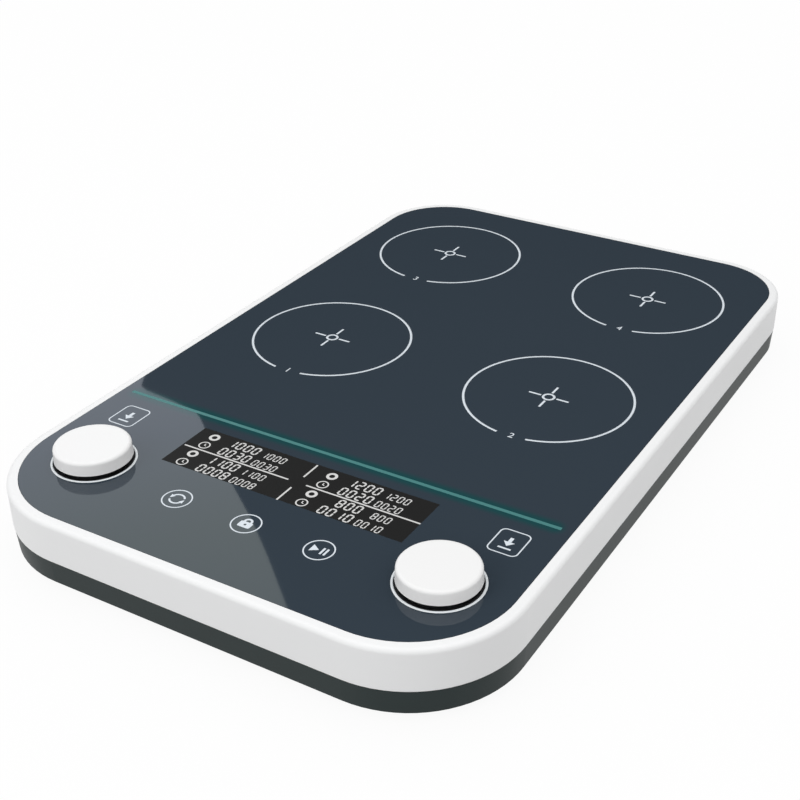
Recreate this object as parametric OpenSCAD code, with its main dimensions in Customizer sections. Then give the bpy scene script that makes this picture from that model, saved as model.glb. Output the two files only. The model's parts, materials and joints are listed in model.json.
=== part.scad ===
// Four-position magnetic stirrer with a glass top, two push knobs and a sealed flat housing.
// Origin at the middle of the footprint, on the surface it stands on. +Z up, the front faces -Y.

/* [Body] */
// Width of the body, left to right
body_w = 240; // [238:1:290]
// Depth of the body, front to rear
body_d = 380; // [376:1:440]
// Corner radius at the front, seen from above
front_corner_r = 50; // [44:1:56]
// Corner radius at the rear, seen from above
rear_corner_r = 40; // [34:1:48]
// Height of the white frame, split line to glass top
frame_h = 19.15; // [18.5:0.05:24]
// Height of the dark base tray, without the feet
base_h = 11.1; // [10.5:0.1:14]
// Radius of the frame's top outer edge
shoulder_r = 2; // [1.5:0.1:4]
// Radius of the frame's lower outer edge
frame_edge_r = 0.6; // [0.2:0.1:1.2]
// Wall of the white frame
frame_wall = 3; // [2.4:0.1:3.6]
// Width of the rim round the glass
rim_w = 4.8; // [4.4:0.1:6]
// Width of the ledge under the glass
ledge_w = 6; // [5.6:0.1:8]
// Thickness of the ledge
ledge_t = 3; // [2:0.1:3.4]
// Wall of the base tray
base_wall = 2.5; // [2:0.1:3]
// Floor of the base tray
floor_t = 2.5; // [2:0.1:3.4]
// Setback of the base tray from the frame at the split line
base_setback = 0.15; // [0:0.05:0.5]
// How far the base wall leans in over its height
base_draft = 0.65; // [0.2:0.05:1.4]
// Chamfer along the lower edge of the base
base_chamfer = 0.6; // [0.2:0.1:1]
// Height of the base's tongue inside the frame
tongue_h = 3.5; // [2:0.1:4.5]
// Thickness of that tongue
tongue_t = 1.5; // [1.2:0.1:1.8]

/* [Glass] */
// Thickness of the glass panel
glass_t = 4; // [3:0.1:5]
// Gap between the glass edge and the rim
glass_gap = 0.2; // [0.1:0.05:0.4]
// Thickness of the gasket under the glass
gasket_t = 0.8; // [0.5:0.1:1.2]
// Width of the gasket
gasket_w = 5; // [3:0.1:5.2]

/* [Stirring positions] */
// Distance between the stirring positions, left to right
pitch_x = 120; // [118:1:140]
// Distance between the two rows
pitch_y = 120; // [100:1:124]
// Rear row axes to the rear face
rear_row_setback = 69; // [60:1:74]
// Running gap between the drive magnets and the glass
magnet_gap = 1.5; // [0.8:0.1:2]
// Radius of a drive magnet
magnet_r = 7; // [5:0.1:8]
// Height of a drive magnet
magnet_h = 4; // [3:0.1:5]
// Axis of a drive magnet to the rotor axis
magnet_offset = 14; // [10:0.1:15]
// Radius of the magnet carrier
carrier_r = 24; // [23:0.1:25]
// Thickness of the magnet carrier
carrier_t = 3; // [2.6:0.1:4]

/* [Motors] */
// Radius of the base plate
plate_r = 28; // [27:0.1:29]
// Thickness of the base plate
plate_t = 1.5; // [1:0.1:2]
// Mounting hole circle radius
ear_pcr = 31; // [30.5:0.1:32]
// Radius of each mounting ear
ear_r = 4.5; // [3.5:0.1:5]
// Outer radius of the bearing tube
tube_r = 5.5; // [5:0.1:6.5]
// Height of the bearing tube above the plate
tube_h = 11.5; // [10.5:0.1:12.5]
// Outer radius of a bearing
bearing_r = 4; // [3.5:0.1:4.5]
// Height of a bearing
bearing_h = 4; // [3:0.1:4.5]
// Radius of the motor shaft
shaft_r = 1.5; // [1:0.1:2]
// Radius of the laminated core
core_r = 21; // [20:0.1:21.4]
// Thickness of the laminated core
core_t = 5.5; // [4:0.1:6]
// Number of wound teeth
teeth = 9; // [6:3:12]
// Outer radius of the rotor cup
cup_r = 25; // [24.8:0.1:26]
// Wall of the rotor cup
cup_wall = 1.3; // [1:0.1:1.6]
// Height of the rotor cup
cup_h = 12.4; // [12:0.1:14]
// Air gap between the core and the ring magnet
air_gap = 0.6; // [0.4:0.05:0.8]

/* [Knobs] */
// Knob axis to the side face of the body
knob_side = 35; // [32:0.5:36]
// Knob axis to the front face of the body
knob_front = 45.9; // [42:0.1:50]
// Radius of the knob
knob_r = 16.5; // [14:0.1:16.6]
// Height of the knob's cap
knob_h = 6; // [4.5:0.05:9]
// Gap between the knob and the glass top
knob_lift = 2; // [1.5:0.05:4]
// Radius of the knob's top edge
knob_edge_r = 1.4; // [0.5:0.1:2]
// Draft of the knob's side, from its top edge to its foot
knob_draft = 0.25; // [0:0.05:0.5]
// Skin of the knob's cap
knob_skin = 1.8; // [1.2:0.1:2.2]
// Travel of the push switch
press = 0.5; // [0.3:0.1:0.8]
// Outer radius of the trim ring round the knob
ring_r = 18.3; // [17.6:0.05:18.5]
// Width of the trim ring
ring_w = 1.05; // [0.8:0.05:1.3]
// Height of the trim ring above the glass
ring_rise = 0.25; // [0.1:0.05:0.6]
// Radius of the encoder's shaft
stem_r = 3; // [2.5:0.1:3.2]
// Side of the encoder's square body
encoder_w = 12; // [11:0.1:13]
// Height of the encoder's body
encoder_h = 6.5; // [6:0.1:7.4]
// Length of the encoder's bushing
bushing_h = 5; // [4:0.1:6]

/* [Display and boards] */
// Width of the display window
window_w = 120; // [100:1:122]
// Depth of the display window
window_d = 30; // [24:1:32]
// Middle of the display window to the front face
window_front = 75; // [72:0.5:80]
// Border of the display round its window
window_border = 3; // [2:0.1:4]
// Thickness of the display
display_t = 2.8; // [2:0.1:3.4]
// Height of the display holder
holder_h = 8.3; // [7:0.1:9]
// Touch keys to the front face
key_front = 40; // [36:0.5:42]
// Distance between touch keys
key_pitch = 35; // [25:0.5:40]
// Thickness of both boards
board_t = 1.6; // [1:0.1:2]
// Height of the main board's standoffs
main_post_h = 4.5; // [3.5:0.1:6]

/* [Rear inlet and switch] */
// Distance between the inlet and the switch
io_pitch = 60; // [50:1:70]
// Radius of the inlet's flange
inlet_flange_r = 4.8; // [4.6:0.1:5]
// Radius of the inlet's barrel
inlet_r = 4; // [3.7:0.1:4.2]
// Radius of the inlet's socket
socket_r = 2.8; // [2.7:0.05:3]
// Radius of the inlet's centre pin
inlet_pin_r = 1.05; // [0.9:0.05:1.3]
// Width of the rocker
rocker_w = 10.4; // [9:0.1:10.8]
// Angle the rocker swings through, off to on
rocker_swing = 18; // [12:1:18]

/* [Feet and screws] */
// Height of the feet below the base
foot_h = 3.75; // [2:0.25:8]
// Radius of a foot
foot_r = 10; // [8:0.5:12]
// Foot axis to the side face
foot_side = 32; // [28:0.5:36]
// Foot axis to the front or the rear face
foot_end = 36; // [32:0.5:40]
// Housing screw axis to the outer face
boss_inset = 9; // [8.8:0.1:10]
// Radius of a housing screw's shank
screw_r = 1.5; // [1:0.05:1.6]
// Length of a housing screw's shank
screw_l = 12; // [8:0.5:13]

/* [Hidden] */
$fn = 72;
ALL = [1:4];
SIDES = ["left", "right"];

// Colours
white = [0.95, 0.95, 0.95];
charcoal = [0.16, 0.17, 0.18];
slate = [0.20, 0.24, 0.28];
black = [0.04, 0.04, 0.05];
steel = [0.70, 0.71, 0.73];
copper = [0.72, 0.42, 0.22];
board_green = [0.10, 0.32, 0.20];
eps = 0.01;

// Heights
split_z = foot_h + base_h;
top_z = split_z + frame_h;
glass_z = top_z - glass_t;
ledge_z = glass_z - gasket_t;
ledge_under = ledge_z - ledge_t;
floor_z = foot_h + floor_t;

// How far a cut reaches past the face it starts from
over = 1;

// Clearances
fit = 0.05;
seat_gap = 0.2;
tongue_gap = 0.2;
tongue_root = 2;
screw_gap = 0.1;
head_gap = 0.4;
gasket_setback = 0.4;

// How far posts and ribs root in the tray's floor
root = 1;

// Housing screws: a screw post in the tray meets a boss in the frame at the split line
boss_r = 4;
post_r = 4.6;
web_t = 2;
head_r = 2.8;
head_h = 2.2;
post_roof = 5;
screw_end_gap = 1;
blind_gap = 0.3;
post_web_drop = 4;
boss_top_drop = 1;
boss_top = ledge_z - boss_top_drop;
boss_web_rise = 0.5;
recess_reach = 0.6;
recess_width = 0.4;
recess_depth = 0.55;
corner_f = front_corner_r - boss_inset;
corner_r = rear_corner_r - boss_inset;
side_mid_y = (front_corner_r - rear_corner_r) / 2;
housing_points = concat(
    [for (s = [-1, 1]) [s * (body_w / 2 - front_corner_r + corner_f * cos(45)),
        -body_d / 2 + front_corner_r - corner_f * sin(45), s > 0 ? -45 : -135]],
    [for (s = [-1, 1]) [s * (body_w / 2 - rear_corner_r + corner_r * cos(45)),
        body_d / 2 - rear_corner_r + corner_r * sin(45), s > 0 ? 45 : 135]],
    [for (s = [-1, 1]) [s * (body_w / 2 - boss_inset), side_mid_y, s > 0 ? 0 : 180]],
    [for (s = [-1, 1]) [0, s * (body_d / 2 - boss_inset), s * 90]]
);

// Feet
foot_recess = 1;
foot_edge_r = 1.2;
foot_points = [for (x = [-1, 1]) for (y = [-1, 1])
    [x * (body_w / 2 - foot_side), y * (body_d / 2 - foot_end)]];

// Stirring positions: 1 and 2 in front, 3 and 4 behind
rear_row_y = body_d / 2 - rear_row_setback;
front_row_y = rear_row_y - pitch_y;
stirs = [[-pitch_x / 2, front_row_y], [pitch_x / 2, front_row_y],
    [-pitch_x / 2, rear_row_y], [pitch_x / 2, rear_row_y]];

// Motor stack, from the underside of its base plate
core_gap = 2.5;
core_z = plate_t + core_gap;
bearing_low = 1;
bearing_high = plate_t + tube_h - bearing_h;
cup_gap = 1.1;
cup_z = plate_t + cup_gap;
cup_top = cup_z + cup_h;
cup_plate_t = 1.4;
pocket_depth = 2.5;
magnet_z = cup_top + carrier_t - pocket_depth;
stack_h = magnet_z + magnet_h;
motor_z = glass_z - magnet_gap - stack_h;
ring_magnet_r = cup_r - cup_wall - fit;
ring_magnet_setback = 0.6;
ring_magnet_over = 2.1;
ring_magnet_z = cup_z + ring_magnet_setback;
ring_magnet_h = core_t + ring_magnet_over;
coil_t = 1.1;
coil_gap = 0.6;
tooth_w = 3.4;
tooth_head_t = 2;
slot_mouth = 2.4;
hub_wall = 3.5;
hub_r = tube_r + hub_wall;
stack_seat_w = 1.5;
bearing_lip = 0.8;
shaft_collar_w = 0.8;
shaft_collar_gap = 0.2;
tab_reach = 2;
lead_w = 8;
lead_t = 1;
lead_bend = 3;
lead_rise = 1.5;
lead_start_gap = 1;
tab_side = 1;

// Motor screws
ear_angles = [60, 180, 300];
motor_screw_r = 1.25;
motor_head_r = 2.5;
motor_head_h = 1.6;
motor_screw_grip = 0.5;
motor_screw_l = motor_z - floor_z + plate_t + motor_screw_grip;
motor_post_r = 3.5;
well_gap = 1.5;
well_r = ear_pcr + ear_r + well_gap;
well_t = 1.5;
rib_h = 3;
cross_rib_gap = 12;
long_rib_gap = 2;

// Knobs
knob_x = body_w / 2 - knob_side;
knob_y = -body_d / 2 + knob_front;
knob_z = top_z + knob_lift;
knob_top = knob_z + knob_h;
hub_outer = 5;
hub_drop = 0.5;
hub_z = top_z - hub_drop;
hub_bite = 0.5;
knob_webs = 6;
knob_web_t = 1.2;
knob_web_setback = 1;
knob_web_z = knob_z + knob_web_setback;
stem_end_gap = 0.3;
stem_top = knob_top - knob_skin - stem_end_gap;
stem_flat = 1.5;
stem_flat_gap = 1;

// Trim ring and seat under each knob
ring_hole_gap = 0.1;
ring_seat_gap = 0.1;
seat_r = ring_r - ring_w - ring_seat_gap;
seat_wall = 1;
seat_flange_w = 3.5;
seat_flange_r = ring_r + seat_flange_w;
seat_flange_t = 1.6;
seat_hole_r = 4.2;
seat_floor_t = 1.5;
seat_drop = 0.4;
bushing_r = 3.5;

// Control board, hung below the glass by the display and its holder
display_gap = 0.3;
display_z = glass_z - display_gap - display_t;
control_top = display_z - holder_h;
control_z = control_top - board_t;
control_side_reach = 7;
control_hw = knob_x + encoder_w / 2 + control_side_reach;
window_y = -body_d / 2 + window_front;
display_hw = window_w / 2 + window_border;
display_hd = window_d / 2 + window_border;
control_rear_reach = 1;
control_rear = window_y + display_hd + control_rear_reach;
control_front_reach = 27;
control_front = knob_y - control_front_reach;
control_chamfer = 18;
contact_ledge = 2.6;
cell_t = 1.1;
holder_wall = 2;
holder_notch = 8;
holder_notch_h = 2;
spring_r = 4.5;
spring_wall = 0.6;
key_y = -body_d / 2 + key_front;
board_post_r = 3.2;
control_hole_edge = 8;
control_hole_outer = 3;
control_hole_inner = 30;
control_hole_shift = 2;
control_points = [
    for (s = [-1, 1]) [s * (knob_x + control_hole_outer), control_rear - control_hole_edge],
    for (s = [-1, 1]) [s * (knob_x - control_hole_inner), control_front + control_hole_edge],
    [0, (key_y + window_y - display_hd) / 2 + control_hole_shift]];
cavity_r = 4;
cavity_floor = 1;
cavity_roof = 1;
collar_gap = 0.1;
collar_r = 3.7;
collar_t = 2;
plunger_r = 3.2;
plunger_t = 0.8;
stem_z = control_top + cavity_floor + press + collar_gap + plunger_t;

// Main board, between the motor wells
main_z = floor_z + main_post_h;
main_top = main_z + board_t;
main_side_gap = 2.25;
main_hw = pitch_x / 2 - well_r - well_t / 2 - main_side_gap;
main_front_reach = 36;
main_rear_reach = 44;
main_front = front_row_y - main_front_reach;
main_rear = rear_row_y + main_rear_reach;
main_hole_front = 8;
main_hole_rear = 18;
main_hole_side = 5;
main_points = [
    for (y = [main_front + main_hole_front, (front_row_y + rear_row_y) / 2, main_rear - main_hole_rear])
        for (s = [-1, 1]) [s * (main_hw - main_hole_side), y]];
board_screw_r = 1.25;
board_head_r = 2.4;
board_head_h = 1.5;
board_screw_l = 4;
header_w = 22;
header_d = 6;
header_h = 5;
ribbon_w = 20;
ribbon_t = 1;
ribbon_run = 12;
motor_plug = [6, 10, 5];
driver = [7, 7, 1.2];
choke = [12, 12, 5];
choke_reach = (pitch_y - choke[1]) / 4;
capacitor_r = 5;
capacitor_h = 11;
ribbon_seat = 2;

// Rear inlet and switch, each in a shallow pocket of the frame's rear wall
io_body_h = 8;
io_drop = 0.8;
io_z = ledge_under - io_body_h / 2 - io_drop;
io_pocket_h = 10.2;
io_pocket_d = 2;
io_wall_t = 3.2;
io_body_l = 12;
io_floor_y = body_d / 2 - io_pocket_d;
io_pad_y = io_floor_y - io_wall_t;
io_corner_r = 1.5;
inlet_room = 1.4;
inlet_pocket_w = 2 * inlet_flange_r + inlet_room;
switch_sides = 3.6;
switch_w = rocker_w + switch_sides;
switch_room = 2.6;
switch_pocket_w = switch_w + switch_room;
pivot_setback = 4.5;
pivot_y = body_d / 2 - pivot_setback;
inlet_flange_t = 1.6;
socket_depth = 8.5;
inlet_pin_setback = 1;
nut_t = 2.2;
nut_wall = 1.1;
nut_r = inlet_r + nut_wall;
bezel_t = 1.6;
bezel_w = 1;
bezel_edge_h = 0.8;
bezel_corner_r = 1.2;
switch_shell = 0.9;
rocker_gap = 0.8;
rocker_pin_r = 0.9;
rocker_room = 5;
rocker_side_gap = 0.3;
rocker_pin_gap = 0.2;
rocker_face = 3.5;
rocker_dip = 0.6;
rocker_back = 2.4;
rocker_shoulder = 0.48;
rocker_taper = 0.4;
pad_side = 1.5;
tongue_cut = 2.5;
tongue_cut_depth = 2;
pad_below = 0.6;
io_pad_z = io_z - io_pocket_h / 2 - pad_below;
power_plug_w = 16;
power_plug_d = 8;
power_plug_h = 8;
capacitor_gap = 2;
capacitor_x = capacitor_r + capacitor_gap;
capacitor_setback = power_plug_d + 4 * capacitor_r;
wire_w = 3;
wire_t = 2;
wire_drop = 2.6;

// Outline of the body seen from above, moved in by inset: its front and rear corners differ
module outline(inset) {
    w = body_w / 2 - inset;
    d = body_d / 2 - inset;
    f = front_corner_r - inset;
    r = rear_corner_r - inset;
    polygon([[-w, f - d], [f - w, -d], [w - f, -d], [w, f - d],
        [w, d - r], [w - r, d], [r - w, d], [-w, d - r]]);
    for (s = [-1, 1]) {
        translate([s * (w - f), f - d]) circle(f);
        translate([s * (w - r), d - r]) circle(r);
    }
}

// Flat plate on that outline, from z to z + t
module plate(inset, z, t) {
    translate([0, 0, z]) linear_extrude(t) outline(inset);
}

// Takes a wall's section round the outline: x = 0 is the outer face, y is the height
module round_the_body() {
    for (s = [0, 1]) mirror([s, 0, 0]) {
        translate([body_w / 2, side_mid_y, 0]) rotate([90, 0, 0])
            linear_extrude(body_d - front_corner_r - rear_corner_r, center = true) children();
        translate([body_w / 2 - rear_corner_r, body_d / 2 - rear_corner_r, 0])
            rotate_extrude(angle = 90) translate([rear_corner_r, 0]) children();
        translate([body_w / 2 - front_corner_r, front_corner_r - body_d / 2, 0])
            rotate(-90) rotate_extrude(angle = 90) translate([front_corner_r, 0]) children();
    }
    rotate(-90) translate([body_d / 2, 0, 0]) rotate([90, 0, 0])
        linear_extrude(body_w - 2 * front_corner_r, center = true) children();
    rotate(90) translate([body_d / 2, 0, 0]) rotate([90, 0, 0])
        linear_extrude(body_w - 2 * rear_corner_r, center = true) children();
}

// Hollow cylinder
module tube(r_out, r_in, h) {
    difference() {
        cylinder(r = r_out, h = h);
        translate([0, 0, -eps]) cylinder(r = r_in, h = h + 2 * eps);
    }
}

// Rectangle with round corners, centred
module round_rect(w, h, r) {
    square([w - 2 * r, h], center = true);
    square([w, h - 2 * r], center = true);
    for (x = [-1, 1]) for (y = [-1, 1]) translate([x * (w / 2 - r), y * (h / 2 - r)]) circle(r);
}

module at_stir(n) {
    translate([stirs[n - 1][0], stirs[n - 1][1], motor_z])
        mirror([stirs[n - 1][0] > 0 ? 1 : 0, 0, 0]) children();
}

module at_knob(side) {
    translate([side == "left" ? -knob_x : knob_x, knob_y, 0]) children();
}

// Section of the frame: round shoulder, rim beside the glass and ledge under it
module frame_section() {
    depth = rim_w + ledge_w;
    difference() {
        union() {
            translate([-depth, split_z + frame_edge_r]) square([depth, frame_h - frame_edge_r - shoulder_r]);
            translate([-depth, split_z]) square([depth - frame_edge_r, frame_edge_r + over]);
            translate([-depth, top_z - shoulder_r - over]) square([depth - shoulder_r, shoulder_r + over]);
            translate([-frame_edge_r, split_z + frame_edge_r]) circle(frame_edge_r);
            translate([-shoulder_r, top_z - shoulder_r]) circle(shoulder_r);
        }
        translate([-depth - over, ledge_z]) square([depth + over - rim_w, glass_t + gasket_t + over]);
        translate([-depth - over, split_z - over])
            square([depth + over - frame_wall, ledge_under - split_z + over]);
    }
}

// Boss under the ledge for one housing screw, with the web that ties it to the wall
module frame_boss() {
    h = boss_top - split_z;
    web_z = tongue_h + boss_web_rise;
    difference() {
        union() {
            cylinder(r = boss_r, h = h);
            translate([0, -web_t / 2, web_z]) cube([boss_inset - frame_wall + root, web_t, h - web_z]);
        }
        translate([0, 0, -eps]) cylinder(r = screw_r + fit, h = split_depth() + screw_end_gap);
    }
}

// How far a housing screw reaches above the split line
function split_depth() = screw_l - (split_z - foot_h - (base_h - post_roof));

// Cuts through the frame's rear wall for a fitting of w wide
module io_pocket(w) {
    translate([0, io_floor_y, io_z]) rotate([-90, 0, 0])
        linear_extrude(io_pocket_d + over) round_rect(w, io_pocket_h, io_corner_r);
}

module top_frame() color(white) difference() {
    union() {
        round_the_body() frame_section();
        for (p = housing_points) translate([p[0], p[1], split_z]) rotate(p[2]) frame_boss();
        for (x = [[-io_pitch / 2, inlet_pocket_w], [io_pitch / 2, switch_pocket_w]])
            translate([x[0] - x[1] / 2 - pad_side, io_pad_y, io_pad_z])
                cube([x[1] + 2 * pad_side, body_d / 2 - root - io_pad_y, ledge_under - io_pad_z + eps]);
    }
    translate([-io_pitch / 2, 0, 0]) {
        io_pocket(inlet_pocket_w);
        translate([0, io_floor_y + over, io_z]) rotate([90, 0, 0])
            cylinder(r = inlet_r + fit, h = io_body_l);
    }
    translate([io_pitch / 2, 0, 0]) {
        io_pocket(switch_pocket_w);
        translate([-switch_w / 2 - fit, io_floor_y - io_body_l, io_z - io_body_h / 2 - fit])
            cube([switch_w + 2 * fit, io_body_l + over, io_body_h + 2 * fit]);
    }
}

module glass_panel() color(slate) difference() {
    plate(rim_w + glass_gap, glass_z, glass_t);
    for (s = SIDES) at_knob(s) translate([0, 0, glass_z - over])
        cylinder(r = ring_r + ring_hole_gap, h = glass_t + 2 * over);
}

module panel_gasket() color(black) {
    inset = rim_w + glass_gap + gasket_setback;
    difference() {
        plate(inset, ledge_z, gasket_t);
        plate(inset + gasket_w, ledge_z - over, gasket_t + 2 * over);
    }
}

// Section of the tray's wall: it leans in towards the floor and ends in a tongue inside the frame
module base_section() {
    out = base_setback + base_draft;
    outer = frame_wall + tongue_gap;
    inner = outer + tongue_t;
    step_z = split_z - tongue_root;
    polygon([[-out - base_chamfer, foot_h], [-out, foot_h + base_chamfer], [-base_setback, split_z],
        [-outer, split_z], [-outer, split_z + tongue_h], [-inner, split_z + tongue_h], [-inner, step_z],
        [-out - base_wall, step_z - inner + out + base_wall], [-out - base_wall, foot_h]]);
}

// Standoff on the tray's floor at p, up to top
module post(p, r, top) {
    translate([p[0], p[1], foot_h + root]) cylinder(r = r, h = top - foot_h - root);
}

// Rib across the tray's floor between the points a and b, each straight in x or in y
module floor_rib(a, b) {
    translate([min(a[0], b[0]) - well_t / 2, min(a[1], b[1]) - well_t / 2, foot_h + root])
        cube([abs(b[0] - a[0]) + well_t, abs(b[1] - a[1]) + well_t, floor_t - root + rib_h]);
}

// Walls, floor, screw posts, motor wells and standoffs of the tray, before its holes
module tray_body() {
    side = body_w / 2 - base_wall - root - well_t / 2;
    round_the_body() base_section();
    plate(base_setback + base_draft + base_wall / 2, foot_h, floor_t);
    for (p = housing_points) translate([p[0], p[1], foot_h + root]) rotate(p[2]) {
        cylinder(r = post_r, h = base_h - root);
        translate([0, -web_t / 2, 0]) cube([boss_inset - base_wall - root, web_t, base_h - post_web_drop]);
    }
    for (n = ALL) translate([stirs[n - 1][0], stirs[n - 1][1], 0]) {
        translate([0, 0, foot_h + root])
            tube(well_r + well_t / 2, well_r - well_t / 2, floor_t - root + rib_h);
        for (a = ear_angles) rotate(a) post([ear_pcr, 0], motor_post_r, motor_z);
    }
    for (p = control_points) post(p, board_post_r, control_z);
    for (p = main_points) post(p, board_post_r, main_z);
    for (y = [(front_row_y + rear_row_y) / 2, front_row_y - well_r - cross_rib_gap])
        floor_rib([-side, y], [side, y]);
    for (s = [-1, 1]) floor_rib([s * (main_hw + long_rib_gap), front_row_y],
        [s * (main_hw + long_rib_gap), rear_row_y]);
}

module bottom_housing() color(charcoal) difference() {
    tray_body();
    for (p = housing_points) translate([p[0], p[1], foot_h - over]) {
        cylinder(r = head_r + head_gap, h = base_h - post_roof + over);
        cylinder(r = screw_r + screw_gap, h = base_h + 2 * over);
    }
    for (p = foot_points) translate([p[0], p[1], foot_h - over])
        cylinder(r = foot_r + seat_gap, h = foot_recess + over);
    for (n = ALL) at_stir(n) for (a = ear_angles) rotate(a)
        translate([ear_pcr, 0, plate_t - motor_screw_l - blind_gap])
            cylinder(r = motor_screw_r + fit, h = motor_screw_l);
    for (p = control_points) board_hole(p, control_top);
    for (p = main_points) board_hole(p, main_top);
    for (x = [[-io_pitch / 2, inlet_pocket_w], [io_pitch / 2, switch_pocket_w]])
        translate([x[0] - x[1] / 2 - tongue_cut, io_pad_y - tongue_cut_depth, split_z])
            cube([x[1] + 2 * tongue_cut, frame_wall + 2 * tongue_cut_depth, tongue_h + over]);
}

// Blind screw hole below a board whose top is at z
module board_hole(p, z) {
    translate([p[0], p[1], z - board_screw_l - blind_gap])
        cylinder(r = board_screw_r + fit, h = board_screw_l + over);
}

module rubber_feet() color(black) for (p = foot_points) translate([p[0], p[1], 0]) rotate_extrude() {
    translate([0, foot_edge_r]) square([foot_r, foot_h + foot_recess - foot_edge_r]);
    square([foot_r - foot_edge_r, foot_edge_r + eps]);
    intersection() {
        translate([foot_r - foot_edge_r, foot_edge_r]) circle(foot_edge_r);
        square(foot_r);
    }
}

// Cross-head screw standing on z = 0 under its head, shank downwards
module screw(r, l, hr, hh) {
    arm = hr * recess_reach;
    arm_w = arm * recess_width;
    difference() {
        union() {
            cylinder(r = hr, h = hh);
            translate([0, 0, -l]) cylinder(r = r, h = l + eps);
        }
        for (a = [0, 90]) rotate(a)
            translate([-arm, -arm_w / 2, hh * (1 - recess_depth)]) cube([2 * arm, arm_w, hh]);
    }
}

module housing_screws() color(steel) for (p = housing_points)
    translate([p[0], p[1], foot_h + base_h - post_roof]) rotate([180, 0, p[2]])
        screw(screw_r, screw_l, head_r, head_h);

module motor_screws() color(steel) for (n = ALL) at_stir(n) for (a = ear_angles) rotate(a)
    translate([ear_pcr, 0, plate_t]) screw(motor_screw_r, motor_screw_l, motor_head_r, motor_head_h);

module board_screws() color(steel) {
    seats = concat([for (p = control_points) [p[0], p[1], control_top]],
        [for (p = main_points) [p[0], p[1], main_top]]);
    for (seat = seats) translate(seat) screw(board_screw_r, board_screw_l, board_head_r, board_head_h);
}

// White cap with a round top edge and drafted side, hollow underneath, with six webs and a hub on the shaft
module knob() color(white) {
    difference() {
        union() {
            difference() {
                translate([0, 0, knob_z]) rotate_extrude() {
                    polygon([[0, 0], [knob_r + knob_draft, 0], [knob_r, knob_h - knob_edge_r],
                        [knob_r - knob_edge_r, knob_h], [0, knob_h]]);
                    translate([knob_r - knob_edge_r, knob_h - knob_edge_r]) circle(knob_edge_r);
                }
                translate([0, 0, knob_z - over])
                    cylinder(r = knob_r - knob_skin, h = knob_h - knob_skin + over);
            }
            translate([0, 0, hub_z]) cylinder(r = hub_outer, h = knob_top - knob_skin - hub_z + hub_bite);
            for (i = [1:knob_webs]) rotate(i * 360 / knob_webs)
                translate([hub_outer - hub_bite, -knob_web_t / 2, knob_web_z])
                    cube([knob_r - knob_skin - hub_outer + 2 * hub_bite, knob_web_t,
                        knob_top - knob_skin + hub_bite - knob_web_z]);
        }
        translate([0, 0, hub_z - over]) intersection() {
            cylinder(r = stem_r + fit, h = stem_top - hub_z + over + collar_gap);
            translate([-stem_r - over, -stem_r - over, 0])
                cube([2 * (stem_r + over), stem_r + over + stem_flat + fit, knob_top]);
        }
    }
}

// Trim ring standing in the glass
module knob_ring() color(white)
    translate([0, 0, glass_z]) tube(ring_r, ring_r - ring_w, glass_t + ring_rise);

// Black cup under the knob: its flange carries the ring and is bonded under the glass
module knob_seat() color(black) difference() {
    union() {
        translate([0, 0, glass_z - seat_flange_t]) cylinder(r = seat_flange_r, h = seat_flange_t);
        translate([0, 0, glass_z - seat_flange_t])
            cylinder(r = seat_r, h = seat_flange_t + glass_t - seat_drop);
    }
    translate([0, 0, glass_z - seat_flange_t + seat_floor_t])
        cylinder(r = seat_r - seat_wall, h = glass_t + over);
    translate([0, 0, glass_z - seat_flange_t - over]) cylinder(r = seat_hole_r, h = glass_t);
}

// Push encoder: square body with a cavity for the shaft's collar, and the bushing it turns in
module encoder() color(steel) translate([0, 0, control_top]) difference() {
    union() {
        translate([-encoder_w / 2, -encoder_w / 2, 0]) cube([encoder_w, encoder_w, encoder_h]);
        cylinder(r = bushing_r, h = encoder_h + bushing_h);
    }
    translate([0, 0, cavity_floor]) cylinder(r = cavity_r, h = encoder_h - cavity_floor - cavity_roof);
    translate([0, 0, cavity_floor]) cylinder(r = stem_r + fit, h = encoder_h + bushing_h);
}

module encoder_shaft() color(steel) difference() {
    collar_z = control_top + encoder_h - cavity_roof - collar_gap - collar_t;
    flat_z = control_top + encoder_h + bushing_h + stem_flat_gap;
    union() {
        translate([0, 0, stem_z]) cylinder(r = stem_r, h = stem_top - stem_z);
        translate([0, 0, collar_z]) cylinder(r = collar_r, h = collar_t);
    }
    translate([-stem_r - over, stem_flat, flat_z]) cube([2 * (stem_r + over), stem_r, stem_top]);
}

// Non-turning plunger between the shaft's end and the switch dome
module switch_plunger() color(white)
    translate([0, 0, stem_z - plunger_t]) cylinder(r = plunger_r, h = plunger_t);

// Screw holes through a board
module board_holes(points, z) {
    for (p = points) translate([p[0], p[1], z - over])
        cylinder(r = board_screw_r + seat_gap, h = board_t + 2 * over);
}

module control_board() color(board_green) {
    chamfer_y = control_front + control_chamfer;
    chamfer_x = control_hw - control_chamfer;
    difference() {
        translate([0, 0, control_z]) linear_extrude(board_t) polygon([[-control_hw, control_rear],
            [-control_hw, chamfer_y], [-chamfer_x, control_front], [chamfer_x, control_front],
            [control_hw, chamfer_y], [control_hw, control_rear]]);
        board_holes(control_points, control_z);
    }
    translate([-header_w / 2, control_rear - header_d, control_z - header_h])
        cube([header_w, header_d, header_h + eps]);
}

// Display cell: the lower plate stands out under the upper one to take its contacts
module lcd_module() color(black) translate([-display_hw, window_y - display_hd, display_z]) {
    cube([2 * display_hw, 2 * display_hd, display_t - cell_t]);
    translate([0, 0, display_t - cell_t - eps])
        cube([2 * display_hw, 2 * display_hd - contact_ledge, cell_t + eps]);
}

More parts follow.
